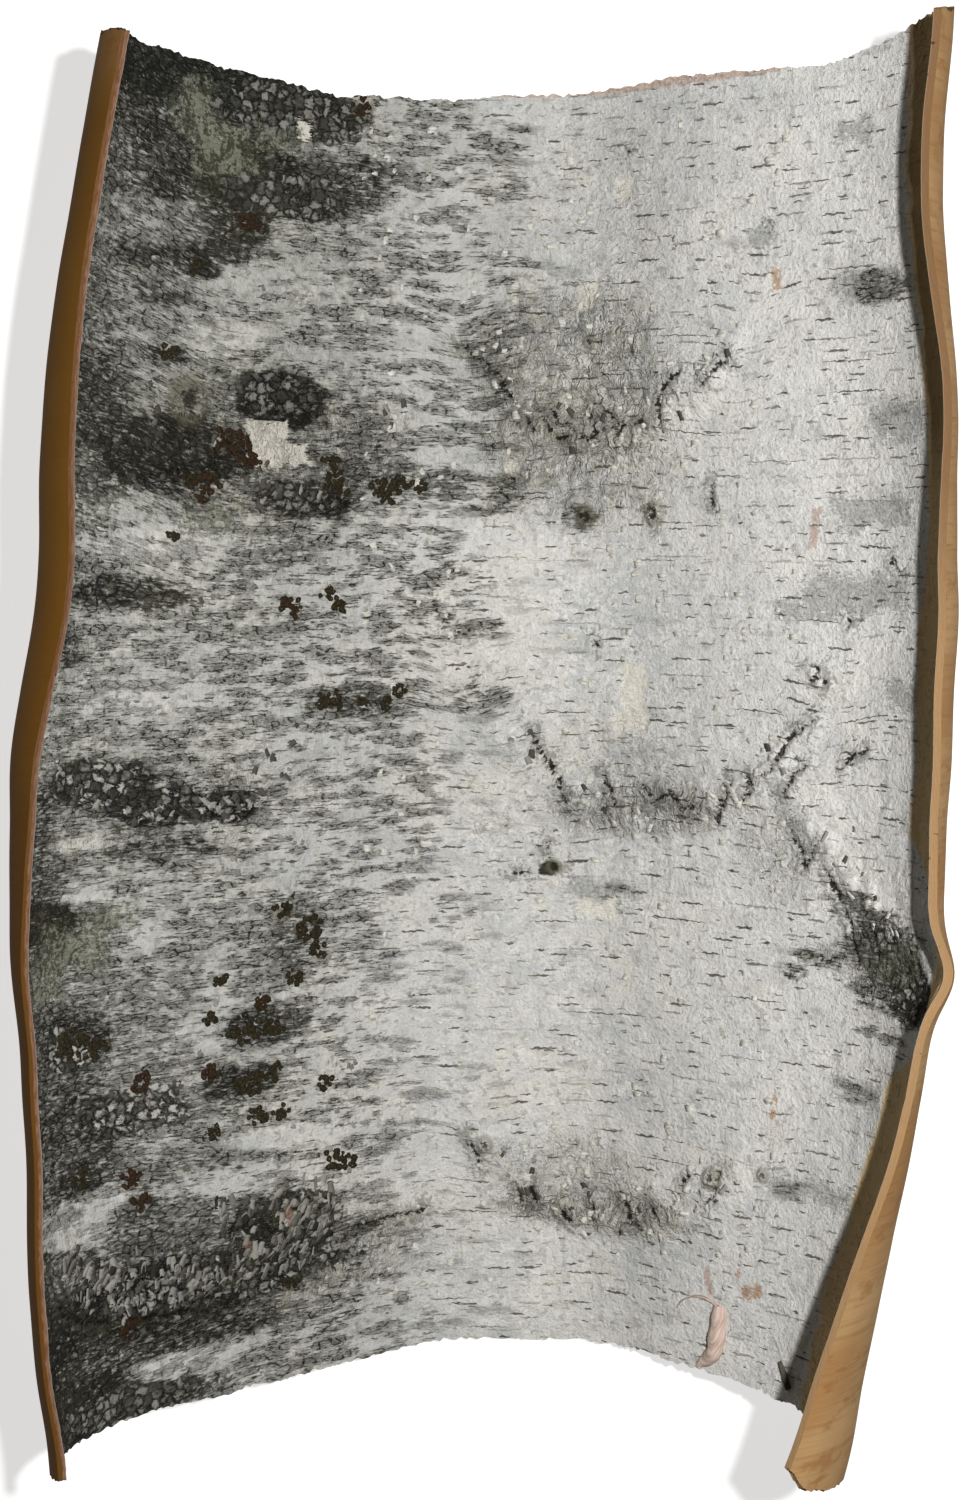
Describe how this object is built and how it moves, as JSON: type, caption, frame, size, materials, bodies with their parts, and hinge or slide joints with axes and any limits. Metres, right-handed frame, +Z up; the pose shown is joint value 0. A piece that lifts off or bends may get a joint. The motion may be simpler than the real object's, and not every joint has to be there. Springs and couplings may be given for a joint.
{
  "type": "piece of bark",
  "caption": "Piece of birch bark peeled whole from a trunk and dried into a long trough, white weathered side up, tan inner side down, with branch scars and curled rims",
  "frame": {"origin": "the middle of the bounding box's footprint, on the surface that the bark rests on", "axes": "+Y runs along the bark from its lower to its upper end in the picture, +X to the right across it, +Z up out of the trough"},
  "size_m": [0.3335, 0.5188, 0.1585],
  "materials": {
    "birch_bark": "rough, papery and matt on the white side, smooth and matt on the tan side"
  },
  "bodies": {
    "root": {"bark": "birch_bark"}
  },
  "joints": []
}
